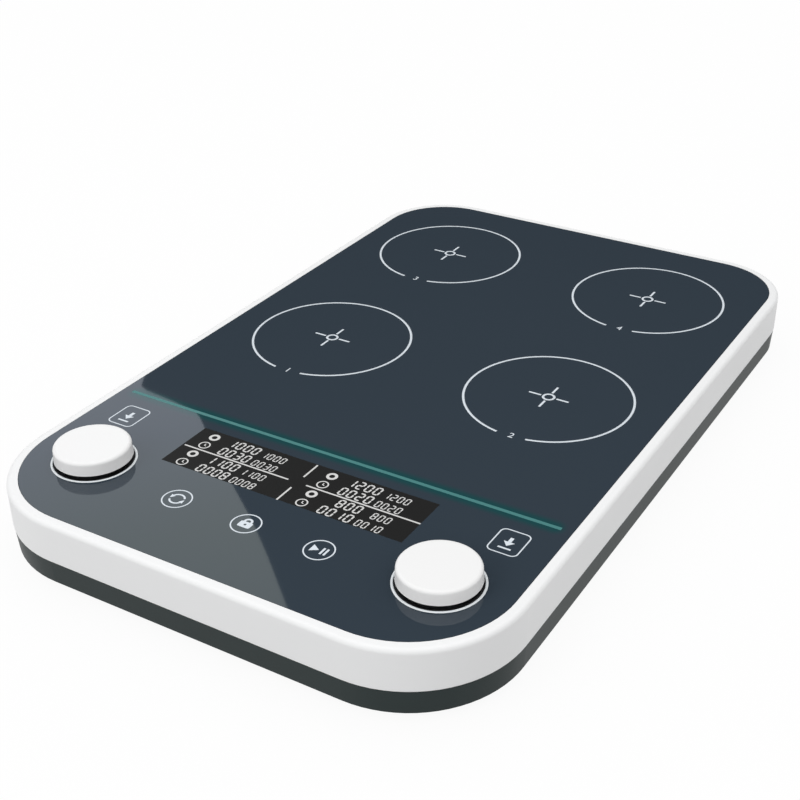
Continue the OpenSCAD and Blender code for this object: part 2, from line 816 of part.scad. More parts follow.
// Light guide on a skirt that stands on the control board
module lcd_holder() color(white) translate([-display_hw, window_y - display_hd, control_top]) difference() {
    cube([2 * display_hw, 2 * display_hd, holder_h]);
    translate([holder_wall, holder_wall, -over])
        cube([2 * (display_hw - holder_wall), 2 * (display_hd - holder_wall),
            holder_h - holder_wall + over]);
    translate([-over, holder_notch, -over])
        cube([2 * (display_hw + over), 2 * (display_hd - holder_notch), holder_notch_h + over]);
}

// Contact rings that reach from the control board to the glass under each touch key
module touch_springs() color(steel) for (x = [-key_pitch, 0, key_pitch])
    translate([x, key_y, control_top]) tube(spring_r, spring_r - spring_wall, glass_z - control_top);

// Component of that size on the main board, its middle at x and its front at y
module component(x, y, size) {
    translate([x - size[0] / 2, y, main_top - eps]) cube(size);
}

// Board with its ribbon header, power plug, motor plugs, drivers, capacitors and choke
module main_board() color(board_green) {
    difference() {
        translate([-main_hw, main_front, main_z]) cube([2 * main_hw, main_rear - main_front, board_t]);
        board_holes(main_points, main_z);
    }
    component(0, main_front, [header_w, header_d, header_h]);
    component(0, main_rear - power_plug_d, [power_plug_w, power_plug_d, power_plug_h]);
    component(0, front_row_y + choke_reach, choke);
    for (s = [-1, 1]) {
        for (y = [front_row_y, rear_row_y]) {
            component(s * (main_hw - motor_plug[0] / 2), y - motor_plug[1] / 2, motor_plug);
            component(s * driver[0], y + motor_plug[1], driver);
        }
        translate([s * capacitor_x, main_rear - capacitor_setback, main_top - eps])
            cylinder(r = capacitor_r, h = capacitor_h);
    }
}

// Flat ribbon with an S bend, from the main board's header to the control board's
module ribbon_cable() color(steel) {
    low = main_top + ribbon_seat;
    high = control_z - header_h + ribbon_seat;
    front = control_rear + ribbon_run;
    rear = main_front - ribbon_run;
    rotate([90, 0, 90]) linear_extrude(ribbon_w, center = true) polygon([
        [main_front, low], [main_front, low + ribbon_t], [rear, low + ribbon_t], [front, high + ribbon_t],
        [control_rear, high + ribbon_t], [control_rear, high], [front, high], [rear, low]]);
}

// Flat lead from each motor's base plate to its plug on the main board
module motor_leads() color(charcoal) for (n = ALL) at_stir(n) {
    start = cup_r + lead_start_gap;
    edge = plate_r + tab_reach;
    reach = pitch_x / 2 - main_hw;
    bend = reach - lead_bend;
    rise = main_top - motor_z + lead_rise;
    translate([0, lead_w / 2, 0]) rotate([90, 0, 0]) linear_extrude(lead_w) polygon([
        [start, plate_t], [start, plate_t + lead_t], [edge, plate_t + lead_t], [bend, rise + lead_t],
        [reach, rise + lead_t], [reach, rise], [bend, rise], [edge, plate_t]]);
}

// Leads from the inlet and the switch to the main board's power plug
module power_leads() color(charcoal) {
    near = io_floor_y - io_body_l;
    left = -io_pitch / 2 - wire_w / 2;
    for (s = [0, 1]) mirror([s, 0, 0]) translate([0, 0, main_top + power_plug_h - wire_drop])
        linear_extrude(wire_t) polygon([[left, near], [left + wire_w, near], [left + wire_w, near - wire_w],
            [-wire_w, near - wire_w], [-wire_w, main_rear], [-2 * wire_w, main_rear],
            [-2 * wire_w, near - 2 * wire_w], [left, near - 2 * wire_w]]);
}

// Base plate with its ears, a terminal tab and the bearing tube
module motor_base() color(steel) difference() {
    union() {
        cylinder(r = plate_r, h = plate_t);
        for (a = ear_angles) rotate(a) translate([ear_pcr, 0, 0]) cylinder(r = ear_r, h = plate_t);
        translate([0, -lead_w / 2 - tab_side, 0])
            cube([plate_r + tab_reach, lead_w + 2 * tab_side, plate_t]);
        cylinder(r = tube_r, h = plate_t + tube_h);
        cylinder(r = tube_r + stack_seat_w, h = core_z);
    }
    translate([0, 0, bearing_low]) cylinder(r = bearing_r + fit, h = bearing_h);
    translate([0, 0, bearing_low]) cylinder(r = bearing_r - bearing_lip, h = tube_h);
    translate([0, 0, bearing_high]) cylinder(r = bearing_r + fit, h = bearing_h + over);
    for (a = ear_angles) rotate(a) translate([ear_pcr, 0, -over])
        cylinder(r = motor_screw_r + screw_gap, h = plate_t + 2 * over);
}

module motor_bearings() color(steel) for (n = ALL) at_stir(n) for (z = [bearing_low, bearing_high])
    translate([0, 0, z]) tube(bearing_r, shaft_r + fit, bearing_h);

// Laminated core: a hub on the bearing tube, teeth, and a rim cut through between the tooth heads
module motor_core() color(steel) translate([0, 0, core_z]) linear_extrude(core_t) difference() {
    union() {
        circle(hub_r);
        for (i = [1:teeth]) rotate(i * 360 / teeth)
            translate([hub_r - over, -tooth_w / 2]) square([core_r - hub_r, tooth_w]);
        difference() {
            circle(core_r);
            circle(core_r - tooth_head_t);
        }
    }
    circle(tube_r + fit);
    for (i = [1:teeth]) rotate((i + 0.5) * 360 / teeth)
        translate([core_r - tooth_head_t - over, -slot_mouth / 2])
            square([tooth_head_t + 2 * over, slot_mouth]);
}

module motor_coils() color(copper) translate([0, 0, core_z]) for (i = [1:teeth]) rotate(i * 360 / teeth) {
    start = hub_r + coil_gap;
    w = tooth_w + 2 * fit;
    h = core_t + 2 * fit;
    translate([start, 0, core_t / 2]) rotate([90, 0, 90])
        linear_extrude(core_r - tooth_head_t - coil_gap - start) difference() {
            round_rect(w + 2 * coil_t, h + 2 * coil_t, coil_t);
            square([w, h], center = true);
        }
}

// Rotor cup with its shaft
module rotor_cup() color(steel) {
    collar_z = plate_t + tube_h + shaft_collar_gap;
    difference() {
        translate([0, 0, cup_z]) cylinder(r = cup_r, h = cup_h);
        translate([0, 0, cup_z - over]) cylinder(r = cup_r - cup_wall, h = cup_h - cup_plate_t + over);
    }
    translate([0, 0, bearing_low]) cylinder(r = shaft_r, h = cup_top - bearing_low);
    translate([0, 0, collar_z]) cylinder(r = shaft_r + shaft_collar_w, h = cup_top - collar_z);
}

module ring_magnet() color(charcoal) translate([0, 0, ring_magnet_z])
    tube(ring_magnet_r, core_r + air_gap, ring_magnet_h);

module magnet_carrier() color(black) difference() {
    translate([0, 0, cup_top]) cylinder(r = carrier_r, h = carrier_t);
    for (s = [-1, 1]) translate([s * magnet_offset, 0, magnet_z])
        cylinder(r = magnet_r + fit, h = carrier_t);
}

module drive_magnets() color(steel) for (s = [-1, 1]) translate([s * magnet_offset, 0, magnet_z])
    cylinder(r = magnet_r, h = magnet_h);

// Rear inlet: flange, threaded barrel with its socket and centre pin, and the nut inside the wall
module dc_inlet() color(black) translate([-io_pitch / 2, io_floor_y, io_z]) rotate([90, 0, 0]) {
    difference() {
        union() {
            translate([0, 0, -inlet_flange_t]) cylinder(r = inlet_flange_r, h = inlet_flange_t);
            cylinder(r = inlet_r, h = io_body_l);
        }
        translate([0, 0, -inlet_flange_t - over])
            cylinder(r = socket_r, h = socket_depth + inlet_flange_t + over);
    }
    translate([0, 0, inlet_pin_setback - inlet_flange_t])
        cylinder(r = inlet_pin_r, h = socket_depth + inlet_flange_t);
    translate([0, 0, io_wall_t]) difference() {
        cylinder(r = nut_r, h = nut_t, $fn = 6);
        translate([0, 0, -over]) cylinder(r = inlet_r + fit, h = nut_t + 2 * over);
    }
}

// Body of the rear switch, with the cavity the rocker swings in
module power_switch() color(black) translate([io_pitch / 2, 0, io_z]) difference() {
    cavity_w = rocker_w + 2 * rocker_gap;
    cavity_y = pivot_y - rocker_room;
    union() {
        translate([0, io_floor_y, 0]) rotate([-90, 0, 0])
            linear_extrude(bezel_t)
                round_rect(switch_w + 2 * bezel_w, io_body_h + 2 * bezel_edge_h, bezel_corner_r);
        translate([-switch_w / 2, io_floor_y - io_body_l, -io_body_h / 2])
            cube([switch_w, io_body_l + eps, io_body_h]);
    }
    translate([-cavity_w / 2, cavity_y, switch_shell - io_body_h / 2])
        cube([cavity_w, body_d / 2 - cavity_y, io_body_h - 2 * switch_shell]);
    translate([0, pivot_y, -io_body_h / 2 - over])
        cylinder(r = rocker_pin_r + fit, h = io_body_h + 2 * over);
}

// Rocker on its two pins, shown switched off
module power_rocker() color(black) translate([io_pitch / 2, pivot_y, io_z]) rotate(-rocker_swing / 2) {
    half = rocker_w / 2;
    linear_extrude(io_body_h - 2 * switch_shell - 2 * rocker_side_gap, center = true) polygon([
        [-half, rocker_face], [0, rocker_face - rocker_dip], [half, rocker_face],
        [half - rocker_taper, -rocker_shoulder], [half / 2, -rocker_back], [-half / 2, -rocker_back],
        [rocker_taper - half, -rocker_shoulder]]);
    cylinder(r = rocker_pin_r, h = io_body_h - 2 * rocker_pin_gap, center = true);
}

top_frame();
glass_panel();
panel_gasket();
bottom_housing();
rubber_feet();
housing_screws();
for (s = SIDES) {
    at_knob(s) knob();
    at_knob(s) knob_ring();
    at_knob(s) knob_seat();
    at_knob(s) encoder();
    at_knob(s) encoder_shaft();
    at_knob(s) switch_plunger();
}
control_board();
lcd_module();
lcd_holder();
touch_springs();
main_board();
board_screws();
motor_screws();
dc_inlet();
power_switch();
power_rocker();
ribbon_cable();
motor_leads();
power_leads();
motor_bearings();
for (n = ALL) {
    at_stir(n) motor_base();
    at_stir(n) motor_core();
    at_stir(n) motor_coils();
    at_stir(n) rotor_cup();
    at_stir(n) ring_magnet();
    at_stir(n) magnet_carrier();
    at_stir(n) drive_magnets();
}
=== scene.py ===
import json
import math

import bmesh
import bpy
from mathutils import Matrix, Vector


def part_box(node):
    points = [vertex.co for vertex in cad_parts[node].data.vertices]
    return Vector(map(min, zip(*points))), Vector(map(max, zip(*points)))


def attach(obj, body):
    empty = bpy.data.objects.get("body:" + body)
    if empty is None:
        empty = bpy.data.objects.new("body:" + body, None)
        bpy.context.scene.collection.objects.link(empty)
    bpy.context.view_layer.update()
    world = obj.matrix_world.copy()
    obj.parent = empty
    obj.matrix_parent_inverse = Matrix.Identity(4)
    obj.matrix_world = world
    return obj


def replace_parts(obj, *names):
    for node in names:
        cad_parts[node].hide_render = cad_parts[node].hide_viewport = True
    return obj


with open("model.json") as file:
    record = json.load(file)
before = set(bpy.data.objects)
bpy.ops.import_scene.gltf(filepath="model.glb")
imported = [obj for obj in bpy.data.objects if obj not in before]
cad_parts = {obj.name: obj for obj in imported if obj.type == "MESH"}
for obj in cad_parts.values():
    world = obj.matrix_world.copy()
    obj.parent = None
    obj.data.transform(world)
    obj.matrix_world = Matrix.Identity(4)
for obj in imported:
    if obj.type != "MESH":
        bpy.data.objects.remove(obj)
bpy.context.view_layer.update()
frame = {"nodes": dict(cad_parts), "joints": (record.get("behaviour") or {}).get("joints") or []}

# Camera: it looks down on the panel from in front of the right-hand knob.
# A small shift takes in the photograph's off-centre framing.
mm = 0.001
scene = bpy.context.scene
camera_place = Vector((279.94, -484.76, 339.10)) * mm
camera_direction = Vector((-0.429106, 0.743966, -0.512232))
camera_data = bpy.data.cameras.new("camera")
camera_data.lens = 59.61
camera_data.sensor_width = 36
camera_data.shift_x = -0.04469
camera_data.shift_y = 0.02272
camera_data.clip_start = 0.01
camera = bpy.data.objects.new("camera", camera_data)
camera.location = camera_place
camera.rotation_euler = camera_direction.to_track_quat("-Z", "Y").to_euler()
scene.collection.objects.link(camera)
scene.camera = camera
scene.view_settings.view_transform = "Standard"


# Studio: a plain white floor under an even sky, with softboxes overhead, front left and front right.
# What looks at the floor and the sky directly, by eye or in a reflection, sees them white.
def direct_rays(tree):
    """A value that is 1 for what the camera, a reflection or clear glass sees, and 0 for bounced light."""
    path = tree.nodes.new("ShaderNodeLightPath")
    total = path.outputs["Is Camera Ray"]
    for ray in ("Is Glossy Ray", "Is Transmission Ray"):
        add = tree.nodes.new("ShaderNodeMath")
        add.use_clamp = True
        tree.links.new(total, add.inputs[0])
        tree.links.new(path.outputs[ray], add.inputs[1])
        total = add.outputs[0]
    return total


sky_fill = 0.91
world = bpy.data.worlds.new("sky")
world.use_nodes = True
scene.world = world
sky_tree = world.node_tree
sky_colour = sky_tree.nodes.new("ShaderNodeMix")
sky_colour.data_type = "RGBA"
sky_colour.inputs["A"].default_value = (sky_fill, sky_fill, sky_fill, 1)
sky_colour.inputs["B"].default_value = (1, 1, 1, 1)
sky_tree.links.new(direct_rays(sky_tree), sky_colour.inputs["Factor"])
sky_tree.links.new(sky_colour.outputs["Result"], sky_tree.nodes["Background"].inputs["Color"])

floor_reach = 6.0
floor_grey = 0.30
floor_pale = 0.9
floor_shade = 0.07
floor_mesh = bpy.data.meshes.new("floor")
floor_corners = [(x * floor_reach, y * floor_reach, 0) for x, y in ((-1, -1), (1, -1), (1, 1), (-1, 1))]
floor_mesh.from_pydata(floor_corners, [], [(0, 1, 2, 3)])
floor = bpy.data.objects.new("floor", floor_mesh)
scene.collection.objects.link(floor)
floor_paint = bpy.data.materials.new("floor_paint")
floor_paint.use_nodes = True
floor_tree = floor_paint.node_tree
floor_tree.nodes.remove(floor_tree.nodes["Principled BSDF"])
seen_shade = floor_tree.nodes.new("ShaderNodeBsdfDiffuse")
seen_shade.inputs["Color"].default_value = (floor_pale, floor_pale, floor_pale, 1)
seen_white = floor_tree.nodes.new("ShaderNodeEmission")
seen_mix = floor_tree.nodes.new("ShaderNodeMixShader")
seen_mix.inputs["Fac"].default_value = floor_shade
bounce = floor_tree.nodes.new("ShaderNodeBsdfDiffuse")
bounce.inputs["Color"].default_value = (floor_grey, floor_grey, floor_grey, 1)
floor_mix = floor_tree.nodes.new("ShaderNodeMixShader")
for a, b in ((seen_white.outputs[0], seen_mix.inputs[1]), (seen_shade.outputs[0], seen_mix.inputs[2]),
             (bounce.outputs[0], floor_mix.inputs[1]), (seen_mix.outputs[0], floor_mix.inputs[2]),
             (direct_rays(floor_tree), floor_mix.inputs["Fac"]),
             (floor_mix.outputs[0], floor_tree.nodes["Material Output"].inputs["Surface"])):
    floor_tree.links.new(a, b)
floor_mesh.materials.append(floor_paint)


def softbox(name, place, target, size, power):
    """A soft lamp that shines from a place at a target, in metres and watts, and shows in no reflection."""
    light = bpy.data.lights.new(name, "AREA")
    light.shape = "RECTANGLE"
    light.size, light.size_y = size
    light.energy = power
    lamp = bpy.data.objects.new(name, light)
    lamp.location = place
    lamp.rotation_euler = (Vector(target) - Vector(place)).to_track_quat("-Z", "Y").to_euler()
    lamp.visible_glossy = False
    scene.collection.objects.link(lamp)


softbox("softbox_over", (-0.1, 0, 1.9), (0, 0, 0), (1.3, 1.3), 2.4)
softbox("softbox_front", (-0.7, -1.6, 0.9), (0, -0.1, 0), (0.9, 0.7), 5.4)
softbox("softbox_right", (1.3, -1.3, 0.7), (0, -0.1, 0), (0.8, 0.6), 1.2)

# Flag: a black band round the set that only reflections see, so that the glass shows dark.
# Light card: one bright sheet before that band, bluer low down, mirrored by the glass at its front left.
# Its outline is given as the (x, y) places on the panel, in millimetres, where its edge is mirrored.
glass_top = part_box("glass_panel")[1].z
flag_radius = 2.3
flag_from, flag_to = 0.06, 5.2
flag_sides = 64
card_distance = 1.9
card_light = 1.5
card_low_tint, card_high_tint = (0.97, 1.02, 1.12, 1), (0.93, 1.0, 0.92, 1)
card_fade_from, card_fade_to = 1.0, 1.12
card_edge = ((-160, -60), (-118, -72), (-110, -85), (-105, -87), (-90, -88.5), (-73, -91), (-68, -94),
             (-60, -100.5), (-21, -131), (0, -146.5), (20, -163), (45, -185), (70, -215), (-160, -215))


def glossy_only(name, points, faces, light):
    """Makes a stage sheet that shows in reflections only. Gives its node tree and colour socket."""
    mesh = bpy.data.meshes.new(name)
    mesh.from_pydata(points, [], faces)
    sheet = bpy.data.objects.new(name, mesh)
    scene.collection.objects.link(sheet)
    sheet.visible_camera = sheet.visible_diffuse = sheet.visible_shadow = sheet.visible_transmission = False
    paint = bpy.data.materials.new(name)
    paint.use_nodes = True
    paint.node_tree.nodes.remove(paint.node_tree.nodes["Principled BSDF"])
    glow = paint.node_tree.nodes.new("ShaderNodeEmission")
    glow.inputs["Strength"].default_value = light
    paint.node_tree.links.new(glow.outputs[0], paint.node_tree.nodes["Material Output"].inputs["Surface"])
    mesh.materials.append(paint)
    return paint.node_tree, glow.inputs["Color"]


def place_of(tree):
    """X, Y and Z of the surface in the object's own coordinates."""
    split = tree.nodes.new("ShaderNodeSeparateXYZ")
    tree.links.new(tree.nodes.new("ShaderNodeTexCoord").outputs["Object"], split.inputs[0])
    return split.outputs


def mix_colours(tree, factor, one, two):
    """Colour socket that goes from one to two."""
    made = tree.nodes.new("ShaderNodeMix")
    made.data_type = "RGBA"
    for value, label in ((factor, "Factor"), (one, "A"), (two, "B")):
        if isinstance(value, bpy.types.NodeSocket):
            tree.links.new(value, made.inputs[label])
        else:
            made.inputs[label].default_value = value
    return made.outputs["Result"]


flag_turns = [math.tau * i / flag_sides for i in range(flag_sides)]
flag_points = [(flag_radius * math.cos(turn), flag_radius * math.sin(turn), z)
               for z in (flag_from, flag_to) for turn in flag_turns]
flag_faces = []
for i in range(flag_sides):
    after = (i + 1) % flag_sides
    flag_faces.append((i, after, flag_sides + after, flag_sides + i))
glossy_only("flag_band", flag_points, flag_faces, 0)
card_points = []
for x, y in card_edge:
    spot = Vector((x * mm, y * mm, glass_top))
    ray = (spot - camera_place).normalized()
    card_points.append(spot + Vector((ray.x, ray.y, -ray.z)) * card_distance)
card_tree, card_colour = glossy_only("light_card", card_points, [tuple(range(len(card_points)))], card_light)
card_fade = card_tree.nodes.new("ShaderNodeMapRange")
card_fade.inputs["From Min"].default_value = card_fade_from
card_fade.inputs["From Max"].default_value = card_fade_to
card_tree.links.new(place_of(card_tree)["Z"], card_fade.inputs["Value"])
card_tint = mix_colours(card_tree, card_fade.outputs["Result"], card_low_tint, card_high_tint)
card_tree.links.new(card_tint, card_colour)


# Upper frame: one injection moulding in white ABS, which carries the glass on an inner ledge.
# Its outside has a fine, even satin grain from the mould. Screws from below hold it to the tray.
def shader_group(name, inputs, outputs):
    """An empty node group with those named sockets, and its first and last node."""
    tree = bpy.data.node_groups.new(name, "ShaderNodeTree")
    for label, kind, value in inputs:
        tree.interface.new_socket(name=label, in_out="INPUT", socket_type=kind).default_value = value
    for label, kind in outputs:
        tree.interface.new_socket(name=label, in_out="OUTPUT", socket_type=kind)
    return tree, tree.nodes.new("NodeGroupInput"), tree.nodes.new("NodeGroupOutput")


def math_node(tree, operation, *values):
    """A Math node on sockets or numbers."""
    made = tree.nodes.new("ShaderNodeMath")
    made.operation = operation
    for value, socket in zip(values, made.inputs):
        if isinstance(value, (int, float)):
            socket.default_value = value
        else:
            tree.links.new(value, socket)
    return made.outputs[0]


broad_per_metre = 14
grain, grain_in, grain_out = shader_group(
    "moulded_grain",
    (("Colour", "NodeSocketColor", (0.8, 0.8, 0.8, 1)), ("Roughness", "NodeSocketFloat", 0.5),
     ("Grains per metre", "NodeSocketFloat", 2500), ("Shade", "NodeSocketFloat", 0.03),
     ("Gloss spread", "NodeSocketFloat", 0.06)),
    (("Colour", "NodeSocketColor"), ("Roughness", "NodeSocketFloat"), ("Height", "NodeSocketFloat")))
grain_place = grain.nodes.new("ShaderNodeTexCoord")
grain_fine = grain.nodes.new("ShaderNodeTexNoise")
grain_fine.inputs["Detail"].default_value = 3
grain_broad = grain.nodes.new("ShaderNodeTexNoise")
grain_broad.inputs["Scale"].default_value = broad_per_metre
grain_broad.inputs["Detail"].default_value = 2
for texture in (grain_fine, grain_broad):
    grain.links.new(grain_place.outputs["Object"], texture.inputs["Vector"])
grain.links.new(grain_in.outputs["Grains per metre"], grain_fine.inputs["Scale"])
grain_shift = math_node(grain, "SUBTRACT", grain_broad.outputs["Fac"], 0.5)
grain_rough = math_node(grain, "MULTIPLY", grain_shift, grain_in.outputs["Gloss spread"])
grain_rough = math_node(grain, "ADD", grain_in.outputs["Roughness"], grain_rough)
grain.links.new(grain_rough, grain_out.inputs["Roughness"])
grain_tint = math_node(grain, "MULTIPLY", grain_shift, grain_in.outputs["Shade"])
grain_colour = grain.nodes.new("ShaderNodeHueSaturation")
grain.links.new(grain_in.outputs["Colour"], grain_colour.inputs["Color"])
grain.links.new(math_node(grain, "ADD", grain_tint, 1.0), grain_colour.inputs["Value"])
grain.links.new(grain_colour.outputs["Color"], grain_out.inputs["Colour"])
grain.links.new(grain_fine.outputs["Fac"], grain_out.inputs["Height"])


def add_group(tree, group, values):
    """A group node in the tree: values are plain numbers and colours, or sockets to wire in."""
    made = tree.nodes.new("ShaderNodeGroup")
    made.node_tree = group
    for label, value in values.items():
        if isinstance(value, bpy.types.NodeSocket):
            tree.links.new(value, made.inputs[label])
        else:
            made.inputs[label].default_value = value
    return made.outputs


def moulded(name, colour, roughness, per_metre, depth, shade=0.03, spread=0.06, metallic=0.0, ior=1.5):
    """Material with the fine grain of its mould: depth is the height of the grain in metres."""
    material = bpy.data.materials.new(name)
    material.use_nodes = True
    tree = material.node_tree
    shader = tree.nodes["Principled BSDF"]
    shader.inputs["Metallic"].default_value = metallic
    shader.inputs["IOR"].default_value = ior
    surface = add_group(tree, grain, {"Colour": (*colour, 1), "Roughness": roughness, "Shade": shade,
                                      "Grains per metre": per_metre, "Gloss spread": spread})
    bump = tree.nodes.new("ShaderNodeBump")
    bump.name = "grain_bump"
    bump.inputs["Distance"].default_value = depth
    tree.links.new(surface["Colour"], shader.inputs["Base Color"])
    tree.links.new(surface["Roughness"], shader.inputs["Roughness"])
    tree.links.new(surface["Height"], bump.inputs["Height"])
    tree.links.new(bump.outputs["Normal"], shader.inputs["Normal"])
    return material


def finish_node(name, material):
    """Gives a CAD node its material."""
    for slot in frame["nodes"][name].material_slots:
        slot.material = material


white_abs = moulded("white_abs", (0.925, 0.93, 0.935), 0.42, 3200, 0.00001, shade=0.01)
finish_node("top_frame", white_abs)

# Base tray: an injection moulding in charcoal ABS with a coarser etched grain.
# It closes the housing from below, with a tongue inside the frame and eight screws.
dark_abs = moulded("dark_abs", (0.031, 0.042, 0.042), 0.42, 1800, 0.00002, shade=0.1, ior=1.21)
finish_node("bottom_housing", dark_abs)


# Glass panel: tempered glass on a foam gasket, printed dark blue-grey on its underside.
# Its edges are polished. A soft teal glow round the divider line is painted into the glass colour.
def recolour(material, colour):
    """Wires a colour into the material's grain."""
    for node in material.node_tree.nodes:
        if node.type == "GROUP" and node.node_tree == grain:
            material.node_tree.links.new(colour, node.inputs["Colour"])


slate, glow_teal = (0.036, 0.050, 0.066, 1), (0.0125, 0.063, 0.069, 1)
divider_y = -90.8 * mm
divider_reach, halo_short = 110 * mm, 3 * mm
glow_from, glow_to = 1.2 * mm, 6.0 * mm
glass = moulded("panel_glass", slate[:3], 0.025, 60, 0.0000002, shade=0.03, spread=0.02, ior=1.42)
glass_tree = glass.node_tree
glass_place = place_of(glass_tree)
# Painted glow: the glass colour turns teal close to the divider line and fades back to slate with distance
# from it and round its ends.
beside_line = math_node(glass_tree, "SUBTRACT", glass_place["Y"], divider_y)
past_end = math_node(glass_tree, "ABSOLUTE", glass_place["X"])
past_end = math_node(glass_tree, "SUBTRACT", past_end, divider_reach - halo_short)
past_end = math_node(glass_tree, "MAXIMUM", past_end, 0.0)
past_end = math_node(glass_tree, "MULTIPLY", past_end, past_end)
from_line = math_node(glass_tree, "MULTIPLY_ADD", beside_line, beside_line, past_end)
from_line = math_node(glass_tree, "SQRT", from_line)
glow_share = glass_tree.nodes.new("ShaderNodeMapRange")
glow_share.interpolation_type = "SMOOTHSTEP"
for label, value in (("From Min", glow_from), ("From Max", glow_to), ("To Min", 1), ("To Max", 0)):
    glow_share.inputs[label].default_value = value
glass_tree.links.new(from_line, glow_share.inputs["Value"])
recolour(glass, mix_colours(glass_tree, glow_share.outputs["Result"], slate, glow_teal))
finish_node("glass_panel", glass)
finish_node("panel_gasket", moulded("gasket_foam", (0.02, 0.02, 0.02), 0.8, 900, 0.00005))

# Print on the glass: pale ceramic ink, a few hundredths of a millimetre thick.
# A stirring mark is a ring open at the front, with a small circle and four arms at its centre.
print_rise = 0.03 * mm
ring_radius, ring_line, ring_points = 39.5 * mm, 1.13 * mm, 129
ring_gap, ring_turn = math.radians(20.6), math.radians(0.4)
hub_radius, hub_points = 2.6 * mm, 40
arm_from, arm_to, arm_line = 3.9 * mm, 10.1 * mm, 1.03 * mm
ink = moulded("pale_ink", (0.74, 0.80, 0.86), 0.35, 3000, 0.000002, ior=1.42)


def node_tool(name, inputs):
    """An empty Geometry Nodes tree with those named inputs, and a dict of its input sockets' identifiers."""
    tree = bpy.data.node_groups.new(name, "GeometryNodeTree")
    tree.interface.new_socket(name="Geometry", in_out="OUTPUT", socket_type="NodeSocketGeometry")
    ids = {label: tree.interface.new_socket(name=label, in_out="INPUT", socket_type=kind).identifier
           for label, kind in inputs}
    return tree, ids


def place_nodes(tree, kind, settings=(), wires=()):
    """A node of that kind with its properties set and sockets wired."""
    made = tree.nodes.new(kind)
    for label, value in settings:
        setattr(made, label, value)
    for label, source in wires:
        if isinstance(source, bpy.types.NodeSocket):
            tree.links.new(source, made.inputs[label])
        else:
            made.inputs[label].default_value = source
    return made


def made_by(tree, ids, values, name, body):
    """The tree's result as a plain mesh piece that rides on a body."""
    holder = bpy.data.objects.new(name + "_tool", bpy.data.meshes.new(name + "_tool"))
    scene.collection.objects.link(holder)
    modifier = holder.modifiers.new("tool", "NODES")
    modifier.node_group = tree
    for label, value in values.items():
        modifier[ids[label]] = value
    bpy.context.view_layer.update()
    mesh = bpy.data.meshes.new_from_object(holder.evaluated_get(bpy.context.evaluated_depsgraph_get()))
    mesh.name = name
    bpy.data.objects.remove(holder)
    piece = bpy.data.objects.new(name, mesh)
    scene.collection.objects.link(piece)
    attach(piece, body)
    return piece


marks, marks_ids = node_tool("stirring_marks", (
    ("Ring radius", "NodeSocketFloat"), ("Line", "NodeSocketFloat"), ("Gap", "NodeSocketFloat"),
    ("Gap turn", "NodeSocketFloat"), ("Hub radius", "NodeSocketFloat"), ("Arm line", "NodeSocketFloat"),
    ("Arm length", "NodeSocketFloat"), ("Arm middle", "NodeSocketFloat"), ("Thickness", "NodeSocketFloat"),
    ("Across", "NodeSocketFloat"), ("Along", "NodeSocketFloat"), ("Centre", "NodeSocketVector"),
    ("Ink", "NodeSocketMaterial")))
marks_in = marks.nodes.new("NodeGroupInput").outputs
marks_out = marks.nodes.new("NodeGroupOutput")


def tree_math(operation, *values):
    """A Math node in the tree of the stirring marks."""
    return place_nodes(marks, "ShaderNodeMath", (("operation", operation),), enumerate(values)).outputs[0]


line_section = place_nodes(marks, "GeometryNodeCurvePrimitiveQuadrilateral", (),
                           (("Width", marks_in["Line"]), ("Height", marks_in["Thickness"]))).outputs[0]
sweep = tree_math("SUBTRACT", math.tau, marks_in["Gap"])
gap_end = tree_math("MULTIPLY_ADD", marks_in["Gap"], 0.5, marks_in["Gap turn"])
sweep_from = tree_math("SUBTRACT", gap_end, math.pi / 2)
ring_arc = place_nodes(marks, "GeometryNodeCurveArc", (("mode", "RADIUS"),), (
    ("Resolution", ring_points), ("Radius", marks_in["Ring radius"]),
    ("Start Angle", sweep_from), ("Sweep Angle", sweep)))
hub_circle = place_nodes(marks, "GeometryNodeCurvePrimitiveCircle", (),
                         (("Resolution", hub_points), ("Radius", marks_in["Hub radius"])))
mark_parts = marks.nodes.new("GeometryNodeJoinGeometry")
for curve in (ring_arc.outputs[0], hub_circle.outputs[0]):
    level = place_nodes(marks, "GeometryNodeSetCurveNormal", (("mode", "Z_UP"),), (("Curve", curve),))
    swept = place_nodes(marks, "GeometryNodeCurveToMesh", (), (
        ("Curve", level.outputs[0]), ("Profile Curve", line_section), ("Fill Caps", True)))
    marks.links.new(swept.outputs[0], mark_parts.inputs[0])
arm_size = place_nodes(marks, "ShaderNodeCombineXYZ", (), (
    ("X", marks_in["Arm length"]), ("Y", marks_in["Arm line"]), ("Z", marks_in["Thickness"])))
arm_offset = place_nodes(marks, "ShaderNodeCombineXYZ", (), (("X", marks_in["Arm middle"]),))
arm_bar = place_nodes(marks, "GeometryNodeMeshCube", (), (("Size", arm_size.outputs[0]),))
arm = place_nodes(marks, "GeometryNodeTransform", (), (
    ("Geometry", arm_bar.outputs[0]), ("Translation", arm_offset.outputs[0])))
quarter = tree_math("MULTIPLY", marks.nodes.new("GeometryNodeInputIndex").outputs[0], math.pi / 2)
quarter_turn = place_nodes(marks, "ShaderNodeCombineXYZ", (), (("Z", quarter),))
arms = place_nodes(marks, "GeometryNodeInstanceOnPoints", (), (
    ("Points", place_nodes(marks, "GeometryNodePoints", (), (("Count", 4),)).outputs[0]),
    ("Instance", arm.outputs[0]), ("Rotation", quarter_turn.outputs[0])))
marks.links.new(arms.outputs[0], mark_parts.inputs[0])
mark_grid = place_nodes(marks, "GeometryNodeMeshGrid", (), (
    ("Size X", marks_in["Across"]), ("Size Y", marks_in["Along"]), ("Vertices X", 2), ("Vertices Y", 2)))
mark_spots = place_nodes(marks, "GeometryNodeTransform", (), (
    ("Geometry", mark_grid.outputs[0]), ("Translation", marks_in["Centre"])))
